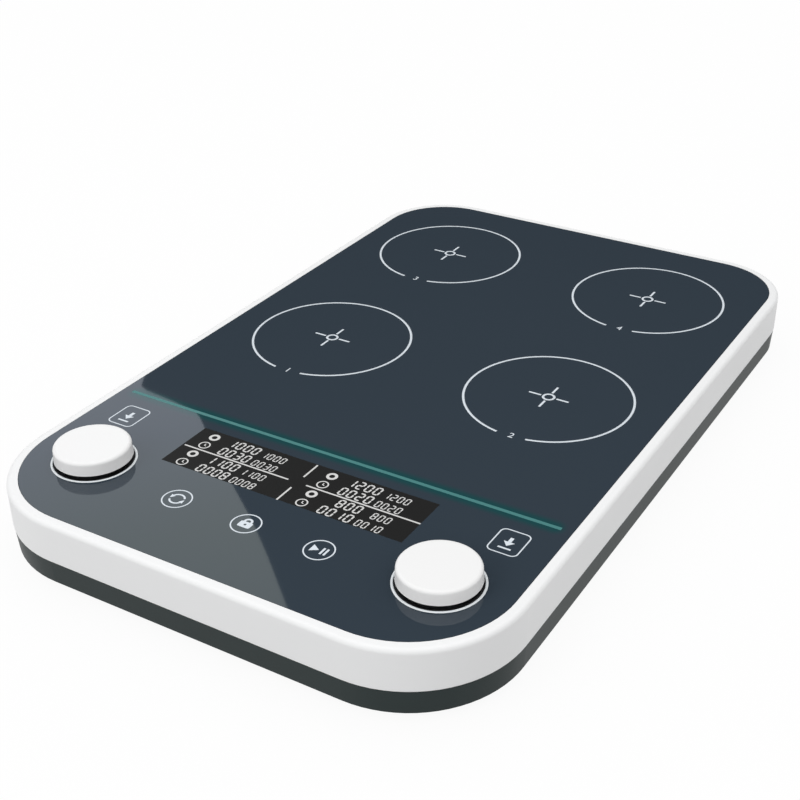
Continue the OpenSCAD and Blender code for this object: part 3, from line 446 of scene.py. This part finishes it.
four_marks = place_nodes(marks, "GeometryNodeInstanceOnPoints", (), (
    ("Points", mark_spots.outputs[0]), ("Instance", mark_parts.outputs[0])))
real_marks = place_nodes(marks, "GeometryNodeRealizeInstances", (), ((0, four_marks.outputs[0]),))
inked_marks = place_nodes(marks, "GeometryNodeSetMaterial", (), (
    ("Geometry", real_marks.outputs[0]), ("Material", marks_in["Ink"])))
marks.links.new(inked_marks.outputs[0], marks_out.inputs[0])


def middle(name):
    """Centre of a CAD node's box."""
    low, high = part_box(name)
    return (low + high) / 2


stir_spots = [middle(f"rotor_{n}_cup") for n in (1, 2, 3, 4)]
stir_centre = sum(stir_spots, Vector()) / 4
stir_centre.z = glass_top
made_by(marks, marks_ids, {
    "Ring radius": ring_radius, "Line": ring_line, "Gap": ring_gap, "Gap turn": ring_turn,
    "Hub radius": hub_radius, "Arm line": arm_line, "Arm length": arm_to - arm_from,
    "Arm middle": (arm_to + arm_from) / 2, "Thickness": 2 * print_rise,
    "Across": stir_spots[1].x - stir_spots[0].x, "Along": stir_spots[2].y - stir_spots[0].y,
    "Centre": stir_centre, "Ink": ink}, "stirring_marks", "housing")

# Position numbers: plain digits 1 to 4, one in the opening of each ring.
# They are printed with the rings, in the same pale ink, and fired on to the glass.
digit_size = 5.6 * mm
digit_drop, digit_side = 39.0 * mm, 0.5 * mm


def piece_from(name, shape, material, body):
    """A bmesh as a piece that rides on a body, with its faces turned outwards."""
    bmesh.ops.recalc_face_normals(shape, faces=shape.faces)
    mesh = bpy.data.meshes.new(name)
    shape.to_mesh(mesh)
    shape.free()
    mesh.materials.append(material)
    piece = bpy.data.objects.new(name, mesh)
    scene.collection.objects.link(piece)
    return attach(piece, body)


def lettering(shape, text, size, place):
    """Adds text, centred on place, to a bmesh as closed raised letters."""
    curve = bpy.data.curves.new("letters", "FONT")
    curve.body = text
    curve.size = size
    curve.align_x = curve.align_y = "CENTER"
    curve.extrude = print_rise
    holder = bpy.data.objects.new("letters", curve)
    scene.collection.objects.link(holder)
    bpy.context.view_layer.update()
    mesh = bpy.data.meshes.new_from_object(holder.evaluated_get(bpy.context.evaluated_depsgraph_get()))
    bpy.data.objects.remove(holder)
    mesh.transform(Matrix.Translation(place))
    shape.from_mesh(mesh)
    bpy.data.meshes.remove(mesh)
    bmesh.ops.remove_doubles(shape, verts=shape.verts, dist=1e-7)


digits = bmesh.new()
for n, spot in enumerate(stir_spots, 1):
    lettering(digits, str(n), digit_size, Vector((spot.x + digit_side, spot.y - digit_drop, glass_top)))
piece_from("position_numbers", digits, ink, "housing")


# Divider: a thin teal line across the panel, between the work surface and the controls.
# It is printed on the glass in a teal ceramic ink, and stops short of the panel's edges.
def slab(shape, outline, top=glass_top + print_rise, bottom=glass_top - print_rise):
    """A closed flat shape with that outline of (x, y) points, in metres."""
    upper = [shape.verts.new((x, y, top)) for x, y in outline]
    lower = [shape.verts.new((x, y, bottom)) for x, y in outline]
    shape.faces.new(upper)
    shape.faces.new(lower[::-1])
    for i in range(len(outline)):
        shape.faces.new((upper[i - 1], upper[i], lower[i], lower[i - 1]))


def rectangle(x, y, wide, deep):
    """Corners of a rectangle, its middle at x, y."""
    return [(x - wide / 2, y - deep / 2), (x + wide / 2, y - deep / 2),
            (x + wide / 2, y + deep / 2), (x - wide / 2, y + deep / 2)]


divider_line = 1.8 * mm
teal = moulded("teal_ink", (0.070, 0.232, 0.230), 0.3, 3000, 0.000002, ior=1.42)
divider_shape = bmesh.new()
slab(divider_shape, rectangle(0, divider_y, 2 * divider_reach, divider_line))
piece_from("divider_line", divider_shape, teal, "housing")

# Display window: a clear field in the print, behind which the liquid crystal display looks black.
# It has four pairs of readouts, each a large and a small number, in pale segments, rings and rules.
window_x, window_y, window_wide, window_deep = 0, -115 * mm, 120 * mm, 30 * mm
window_rise = 0.5 * print_rise
window_black = moulded("window_black", (0.020, 0.020, 0.020), 0.3, 900, 0.000001, ior=1.12)
lit = moulded("lit_segments", (0.68, 0.68, 0.67), 0.4, 3000, 0.000002, ior=1.15)
window = bmesh.new()
slab(window, rectangle(window_x, window_y, window_wide, window_deep), top=glass_top + window_rise)
piece_from("display_window", window, window_black, "housing")


def line(shape, points, width, closed=False, top=glass_top + print_rise, bottom=glass_top - print_rise):
    """A flat line of even width along (x, y) points, with mitred corners."""
    sections = []
    last = len(points) - 1
    for i, (x, y) in enumerate(points):
        here = Vector((x, y))
        before = here - Vector(points[i - 1]) if closed or i else Vector(points[1]) - here
        after = Vector(points[(i + 1) % len(points)]) - here if closed or i < last else before
        one, two = (Vector((-d.y, d.x)).normalized() for d in (before, after))
        side = (one + two) * (width / 2 / (1 + one.dot(two)))
        sections.append([shape.verts.new((*(here + s * side), z))
                         for s, z in ((1, top), (-1, top), (-1, bottom), (1, bottom))])
    for i in range(0 if closed else 1, len(sections)):
        for k in range(4):
            shape.faces.new((sections[i - 1][k], sections[i - 1][k - 1], sections[i][k - 1], sections[i][k]))
    if not closed:
        shape.faces.new(sections[0])
        shape.faces.new(sections[-1][::-1])


def arc(x, y, radius, start=0.0, sweep=360.0, step=9.0):
    """Points along an arc, angles in degrees. A full circle leaves out its last point."""
    count = max(2, round(abs(sweep) / step))
    stop = count if abs(sweep) >= 360 else count + 1
    return [(x + radius * math.cos(math.radians(start + sweep * i / count)),
             y + radius * math.sin(math.radians(start + sweep * i / count))) for i in range(stop)]


segment_bars = {"a": ((0, 1), (1, 1)), "b": ((1, 1), (1, 0.5)), "c": ((1, 0.5), (1, 0)),
                "d": ((0, 0), (1, 0)), "e": ((0, 0.5), (0, 0)), "f": ((0, 1), (0, 0.5)),
                "g": ((0, 0.5), (1, 0.5))}
segment_sets = {"0": "abcdef", "1": "bc", "2": "abdeg", "3": "abcdg", "8": "abcdefg", " ": ""}
figure_slant = 0.06
segment_gap = 0.1


def seven_segments(shape, figure, x, y, wide, tall, stroke):
    """One seven-segment figure, its middle at x, y."""
    for bar in segment_sets[figure]:
        (u0, v0), (u1, v1) = segment_bars[bar]
        start = Vector(((u0 - 0.5) * (wide - stroke), (v0 - 0.5) * (tall - stroke)))
        end = Vector(((u1 - 0.5) * (wide - stroke), (v1 - 0.5) * (tall - stroke)))
        along = (end - start).normalized()
        across = Vector((-along.y, along.x)) * stroke / 2
        start, end = start + along * stroke * segment_gap, end - along * stroke * segment_gap
        tip = along * stroke / 2
        outline = (start, start + tip - across, end - tip - across,
                   end, end - tip + across, start + tip + across)
        slab(shape, [(x + p.x + p.y * figure_slant, y + p.y) for p in outline])


row_y = [y * mm for y in (-104.6, -111.7, -119.7, -126.8)]
readouts = (("1000", "0030", "1100", "0008"), ("1200", "0020", " 800", "0010"))
half_shift = 61.9 * mm
large_x, large_pitch, large_wide, large_tall, large_stroke = (v * mm for v in (-41.2, 4.17, 3.1, 5.8, 0.74))
small_x, small_pitch, small_wide, small_tall, small_stroke = (v * mm for v in (-23.7, 3.2, 2.3, 4.6, 0.52))
small_drop = 0.6 * mm
icon_x, icon_radius, icon_line = -51.3 * mm, 1.9 * mm, 1.25 * mm
clock_radius, clock_line = 2.4 * mm, 0.6 * mm
hand_up, hand_across, hand_down, hand_line = 1.2 * mm, 1.0 * mm, 0.4 * mm, 0.45 * mm
rule_wide, rule_y, rule_places = 55 * mm, -115.6 * mm, (-31.5 * mm, 32.5 * mm)
bar_deep, bar_x, bar_places = 10.4 * mm, 0.5 * mm, (-105.7 * mm, -125 * mm)
rule_line = 0.8 * mm
readout_shape = bmesh.new()
for half, texts in enumerate(readouts):
    for row, text in enumerate(texts):
        y = row_y[row]
        shift = half * half_shift
        for i, figure in enumerate(text):
            seven_segments(readout_shape, figure, large_x + shift + i * large_pitch, y,
                           large_wide, large_tall, large_stroke)
            seven_segments(readout_shape, figure, small_x + shift + i * small_pitch, y - small_drop,
                           small_wide, small_tall, small_stroke)
        if row % 2:
            line(readout_shape, arc(icon_x + shift, y, clock_radius), clock_line, closed=True)
            line(readout_shape, [(icon_x + shift, y + hand_up), (icon_x + shift, y),
                                 (icon_x + shift + hand_across, y - hand_down)], hand_line)
        else:
            line(readout_shape, arc(icon_x + shift, y, icon_radius), icon_line, closed=True)
for x in rule_places:
    slab(readout_shape, rectangle(x, rule_y, rule_wide, rule_line))
for y in bar_places:
    slab(readout_shape, rectangle(bar_x, y, rule_line, bar_deep))
piece_from("display_readouts", readout_shape, lit, "housing")

# Touch keys: three rings with a sign in each, over the contact springs of the control board.
# They are printed on the glass in pale ceramic ink: two turning arrows, a padlock, play and pause.
key_y = middle("touch_springs").y
key_pitch = 35 * mm
key_radius, key_line = 6.2 * mm, 0.58 * mm
turn_radius, turn_line, turn_from, turn_sweep, turn_tip = 3.1 * mm, 0.8 * mm, 25, 125, 165
turn_point, turn_barb, turn_spread = 1.5 * mm, 1.3 * mm, 2.2
play_from, play_to, play_half = 3.6 * mm, 0.1 * mm, 2.2 * mm
pause_places, pause_wide, pause_deep = (1.5 * mm, 3.2 * mm), 0.9 * mm, 4.2 * mm
lock_wide, lock_deep, lock_drop, lock_squareness = 5.8 * mm, 3.8 * mm, 0.7 * mm, 8
lock_y = key_y - lock_drop
lock_top = lock_y + lock_deep / 2
keyhole_radius = 0.6 * mm
shackle_radius, shackle_rise, shackle_line = 1.55 * mm, 0.3 * mm, 0.95 * mm


def pierced_slab(shape, outer, inner):
    """A closed flat shape with a hole: both outlines have the same number of (x, y) points."""
    top, bottom = glass_top + print_rise, glass_top - print_rise
    rows = [[shape.verts.new((x, y, z)) for x, y in outline]
            for outline, z in ((outer, top), (outer, bottom), (inner, bottom), (inner, top))]
    for i in range(len(outer)):
        for k in range(4):
            shape.faces.new((rows[k - 1][i - 1], rows[k - 1][i], rows[k][i], rows[k][i - 1]))


keys = bmesh.new()
for x in (-key_pitch, 0, key_pitch):
    line(keys, arc(x, key_y, key_radius, step=6), key_line, closed=True)
for turn in (0, 180):
    line(keys, arc(-key_pitch, key_y, turn_radius, turn + turn_from, turn_sweep), turn_line)
    tip_x, tip_y = arc(-key_pitch, key_y, turn_radius, turn + turn_tip, 0)[0]
    heading = math.radians(turn + turn_tip + 90)
    slab(keys, [(tip_x + r * math.cos(heading + a), tip_y + r * math.sin(heading + a))
                for r, a in ((turn_point, 0), (turn_barb, turn_spread), (turn_barb, -turn_spread))])
lock_outline, keyhole_outline = [], []
for x, y in arc(0, 0, 1):
    power_sum = abs(2 * x / lock_wide) ** lock_squareness + abs(2 * y / lock_deep) ** lock_squareness
    reach = power_sum ** (-1 / lock_squareness)
    lock_outline.append((x * reach, lock_y + y * reach))
    keyhole_outline.append((x * keyhole_radius, lock_y + y * keyhole_radius))
pierced_slab(keys, lock_outline, keyhole_outline)
line(keys, [(-shackle_radius, lock_top)] + arc(0, lock_top + shackle_rise, shackle_radius, 180, -180)
     + [(shackle_radius, lock_top)], shackle_line)
slab(keys, [(key_pitch - play_from, key_y - play_half), (key_pitch - play_to, key_y),
            (key_pitch - play_from, key_y + play_half)])
for x in pause_places:
    slab(keys, rectangle(key_pitch + x, key_y, pause_wide, pause_deep))
piece_from("touch_key_signs", keys, ink, "housing")

# Legend boxes: a rounded frame behind each knob, with a press sign in it, an arrow over a bar.
# They are printed on the glass in the same pale ink as the touch keys.
box_x, box_y, box_wide, box_deep = 96.15 * mm, -109.0 * mm, 12.9 * mm, 15.5 * mm
box_corner, box_line = 2.4 * mm, 0.56 * mm
head_half, head_top, head_tip = 2.4 * mm, 0.2 * mm, -2.6 * mm
shaft_rise, shaft_wide, shaft_deep = 1.7 * mm, 1.5 * mm, 2.8 * mm
stop_drop, stop_wide, stop_deep = 4.3 * mm, 5.6 * mm, 0.9 * mm
legends = bmesh.new()
for side in (-1, 1):
    x = side * box_x
    outline = []
    for cx, cy, start in ((1, 1, 0), (-1, 1, 90), (-1, -1, 180), (1, -1, 270)):
        outline += arc(x + cx * (box_wide / 2 - box_corner), box_y + cy * (box_deep / 2 - box_corner),
                       box_corner, start, 90, step=15)
    line(legends, outline, box_line, closed=True)
    slab(legends, [(x - head_half, box_y + head_top), (x, box_y + head_tip),
                   (x + head_half, box_y + head_top)])
    slab(legends, rectangle(x, box_y + shaft_rise, shaft_wide, shaft_deep))
    slab(legends, rectangle(x, box_y - stop_drop, stop_wide, stop_deep))
piece_from("knob_legends", legends, ink, "housing")

# Knobs: satin white ABS caps, pushed on to the flats of the encoder shafts.
# The plunger of the switch below each shaft is a white moulding too.
knob_white = moulded("white_knob", (0.925, 0.925, 0.925), 0.35, 3600, 0.000006, shade=0.01)
for side in ("left", "right"):
    finish_node(side + "_knob", knob_white)
    finish_node(side + "_switch_plunger", knob_white)

# Trim rings: pale satin mouldings round each knob, with both top edges rounded.
# Each stands in the panel's hole and hides its ground edge.
ring_width = 1.05 * mm
ring_round = 0.3 * mm
ring_steps = 96
ring_pale = moulded("pale_ring", (0.86, 0.90, 0.93), 0.35, 3600, 0.000006, shade=0.01)


def turned(shape, profile, x, y, steps):
    """Turns a closed (radius, height) profile round the vertical axis at x, y."""
    rows = []
    for i in range(steps):
        a = math.tau * i / steps
        rows.append([shape.verts.new((x + r * math.cos(a), y + r * math.sin(a), z)) for r, z in profile])
    for i in range(steps):
        for k in range(len(profile)):
            shape.faces.new((rows[i - 1][k - 1], rows[i][k - 1], rows[i][k], rows[i - 1][k]))
    for face in shape.faces:
        face.smooth = True


def rounded_top(inner, outer, low, high, radius):
    """Closed profile of a tube wall with both upper edges rounded."""
    return ([(inner, low), (outer, low)] + arc(outer - radius, high - radius, radius, 0, 90, step=15)
            + arc(inner + radius, high - radius, radius, 90, 90, step=15))


for side in ("left", "right"):
    ring_low, ring_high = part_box(side + "_knob_ring")
    ring_middle = middle(side + "_knob_ring")
    ring_outer = (ring_high.x - ring_low.x) / 2
    ring_shape = bmesh.new()
    turned(ring_shape, rounded_top(ring_outer - ring_width, ring_outer, ring_low.z, ring_high.z, ring_round),
           ring_middle.x, ring_middle.y, ring_steps)
    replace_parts(piece_from(side + "_trim_ring", ring_shape, ring_pale, "housing"), side + "_knob_ring")

# Seats and encoders: a black cup bonded under each knob's hole, and below it
# a plated push encoder with its bushing and shaft.
cup_black = moulded("black_plastic", (0.028, 0.030, 0.032), 0.5, 2200, 0.00001)
steel = moulded("steel", (0.62, 0.63, 0.65), 0.32, 1400, 0.000004, metallic=1.0)
for side in ("left", "right"):
    finish_node(side + "_knob_seat", cup_black)
    finish_node(side + "_encoder", steel)
    finish_node(side + "_encoder_shaft", steel)

# Boards: green fibreglass with fine tracks under the solder mask, screwed to posts of the tray.
# What stands above a board's top face is black component moulding. The control board also carries
# the display in its white holder and the steel contact springs.
ridges, ridges_in, ridges_out = shader_group(
    "fine_lines", (("Position", "NodeSocketFloat", 0.0), ("Pitch", "NodeSocketFloat", 0.001)),
    (("Height", "NodeSocketFloat"),))
ridge_turns = math_node(ridges, "DIVIDE", ridges_in.outputs["Position"], ridges_in.outputs["Pitch"])
ridge_wave = math_node(ridges, "SINE", math_node(ridges, "MULTIPLY", ridge_turns, math.tau))
ridges.links.new(math_node(ridges, "MULTIPLY_ADD", ridge_wave, 0.5, 0.5), ridges_out.inputs["Height"])
board_t = 1.6 * mm
solder_green, track_green = (0.012, 0.085, 0.045, 1), (0.035, 0.19, 0.09, 1)
component_black, component_from = (0.03, 0.03, 0.032, 1), 0.1 * mm
track_cells, track_loop, track_edge = 120, 0.3, 0.8


def circuit_board(name, top):
    """Solder mask with tracks, and component moulding above the board's top face."""
    material = moulded(name, solder_green[:3], 0.4, 700, 0.00001, shade=0.3)
    tree = material.node_tree
    place = place_of(tree)
    cells = tree.nodes.new("ShaderNodeTexVoronoi")
    cells.distance = "CHEBYCHEV"
    cells.inputs["Scale"].default_value = track_cells
    tree.links.new(tree.nodes.new("ShaderNodeTexCoord").outputs["Object"], cells.inputs["Vector"])
    loops = add_group(tree, ridges, {"Position": cells.outputs["Distance"], "Pitch": track_loop})["Height"]
    track = math_node(tree, "GREATER_THAN", loops, track_edge)
    mask = mix_colours(tree, track, solder_green, track_green)
    component = math_node(tree, "GREATER_THAN", place["Z"], top + component_from)
    recolour(material, mix_colours(tree, component, mask, component_black))
    return material


control_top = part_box("control_board")[1].z
finish_node("control_board", circuit_board("control_board_mask", control_top))
finish_node("main_board", circuit_board("main_board_mask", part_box("main_board")[0].z + board_t))
finish_node("lcd_module", window_black)
finish_node("lcd_holder", knob_white)
finish_node("touch_springs", steel)

# Motors: a steel plate with its bearing tube, a laminated core with copper windings,
# and a rotor cup with a ferrite ring, which carries the two drive magnets.
copper = moulded("copper", (0.75, 0.30, 0.12), 0.35, 1500, 0.00002, metallic=1.0)
laminations = moulded("laminated_steel", (0.42, 0.42, 0.44), 0.4, 1400, 0.000004, metallic=1.0)
ferrite = moulded("ferrite", (0.03, 0.03, 0.033), 0.6, 900, 0.00002)
nickel = moulded("magnet", (0.66, 0.64, 0.60), 0.22, 800, 0.000002, metallic=1.0)
sheet_pitch, sheet_depth = 0.5 * mm, 0.06 * mm
wire_pitch, wire_depth = 0.45 * mm, 0.1 * mm


def ribbed(material, position, pitch, depth):
    """Adds fine parallel ridges to a material, along a position socket."""
    tree = material.node_tree
    ridge = tree.nodes.new("ShaderNodeBump")
    ridge.inputs["Distance"].default_value = depth
    waves = add_group(tree, ridges, {"Position": position, "Pitch": pitch})
    tree.links.new(waves["Height"], ridge.inputs["Height"])
    tree.links.new(ridge.outputs["Normal"], tree.nodes["grain_bump"].inputs["Normal"])


def radius_of_four(tree, middle_point, reach):
    """Distance from the nearest of four upright axes that stand round a middle point."""
    value = tree.nodes.new("ShaderNodeTexCoord").outputs["Object"]
    for operation, other in (("SUBTRACT", middle_point), ("ABSOLUTE", None), ("SUBTRACT", reach),
                             ("MULTIPLY", (1, 1, 0)), ("LENGTH", None)):
        step = tree.nodes.new("ShaderNodeVectorMath")
        step.operation = operation
        tree.links.new(value, step.inputs[0])
        if other:
            step.inputs[1].default_value = other
        value = step.outputs["Value" if operation == "LENGTH" else "Vector"]
    return value


stir_reach = stir_spots[3] - stir_centre
ribbed(laminations, place_of(laminations.node_tree)["Z"], sheet_pitch, sheet_depth)
coil_radius = radius_of_four(copper.node_tree, tuple(stir_centre), tuple(stir_reach))
ribbed(copper, coil_radius, wire_pitch, wire_depth)
for n in (1, 2, 3, 4):
    for part, material in (("motor_{}_base", steel), ("motor_{}_core", laminations),
                           ("motor_{}_coils", copper), ("rotor_{}_cup", steel),
                           ("rotor_{}_ring_magnet", ferrite), ("rotor_{}_carrier", cup_black),
                           ("rotor_{}_drive_magnets", nickel)):
        finish_node(part.format(n), material)

# Screws: zinc-plated steel, from above for boards and motors, from below for the housing.
# Bearings: small steel ball bearings, pressed into the tubes of the motors.
for name in ("board_screws", "motor_screws", "housing_screws", "motor_bearings"):
    finish_node(name, steel)

# Leads: a grey ribbon between the boards, and flat leads from the motors, inlet and switch.
# All are copper strands in soft plastic, and the ribbon shows a ridge for each strand.
lead_grey = moulded("lead_grey", (0.25, 0.26, 0.28), 0.5, 900, 0.00001)
ribbon_grey = moulded("ribbon_grey", (0.36, 0.37, 0.39), 0.5, 900, 0.00001)
strand_pitch, strand_depth = 1.27 * mm, 0.4 * mm
ribbed(ribbon_grey, place_of(ribbon_grey.node_tree)["X"], strand_pitch, strand_depth)
finish_node("ribbon_cable", ribbon_grey)
finish_node("motor_leads", lead_grey)
finish_node("power_leads", lead_grey)

# Feet: four moulded black rubber discs with fine concentric grip ridges,
# pressed into recesses of the tray.
rubber = moulded("black_rubber", (0.016, 0.016, 0.017), 0.75, 1400, 0.00004, shade=0.2)
feet_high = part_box("rubber_feet")[1]
foot_r = 10 * mm
grip_pitch, grip_depth = 1.6 * mm, 0.4 * mm
feet_reach = (feet_high.x - foot_r, feet_high.y - foot_r, 0)
ribbed(rubber, radius_of_four(rubber.node_tree, (0, 0, 0), feet_reach), grip_pitch, grip_depth)
finish_node("rubber_feet", rubber)

# Rear inlet and switch: black panel fittings in two pockets of the frame's rear wall.
# The rocker carries a printed bar and ring for on and off.
switch_black = moulded("switch_black", (0.014, 0.014, 0.015), 0.3, 2600, 0.000008)
for name in ("dc_inlet", "power_switch", "power_rocker"):
    finish_node(name, switch_black)
rocker_joint = next(joint for joint in frame["joints"] if joint["name"] == "power_rocker_tilt")
rocker_axis = Matrix.Translation(rocker_joint["pos_m"])
rocker_rest = Matrix.Rotation(-math.radians(rocker_joint["range_deg"][1]) / 2, 4, "Z")
rocker_half, rocker_face, rocker_dip = 5.2 * mm, 3.5 * mm, 0.6 * mm
mark_tall, mark_line = 2.6 * mm, 0.5 * mm
facing_back = Matrix(((-1, 0, 0, 0), (0, 0, 1, 0), (0, 1, 0, 0), (0, 0, 0, 1)))
rocker_marks = bmesh.new()
for side in (-1, 1):
    drawn = set(rocker_marks.verts)
    if side < 0:
        slab(rocker_marks, rectangle(0, 0, mark_line, mark_tall), print_rise, -print_rise)
    else:
        line(rocker_marks, arc(0, 0, (mark_tall - mark_line) / 2, step=15), mark_line, True,
             print_rise, -print_rise)
    half_middle = Matrix.Translation((side * rocker_half / 2, rocker_face - rocker_dip / 2, 0))
    half_slope = Matrix.Rotation(side * math.atan2(rocker_dip, rocker_half), 4, "Z")
    half_place = rocker_axis @ rocker_rest @ half_middle @ half_slope @ facing_back
    fresh = [vert for vert in rocker_marks.verts if vert not in drawn]
    bmesh.ops.transform(rocker_marks, matrix=half_place, verts=fresh)
piece_from("rocker_marks", rocker_marks, ink, "rocker")
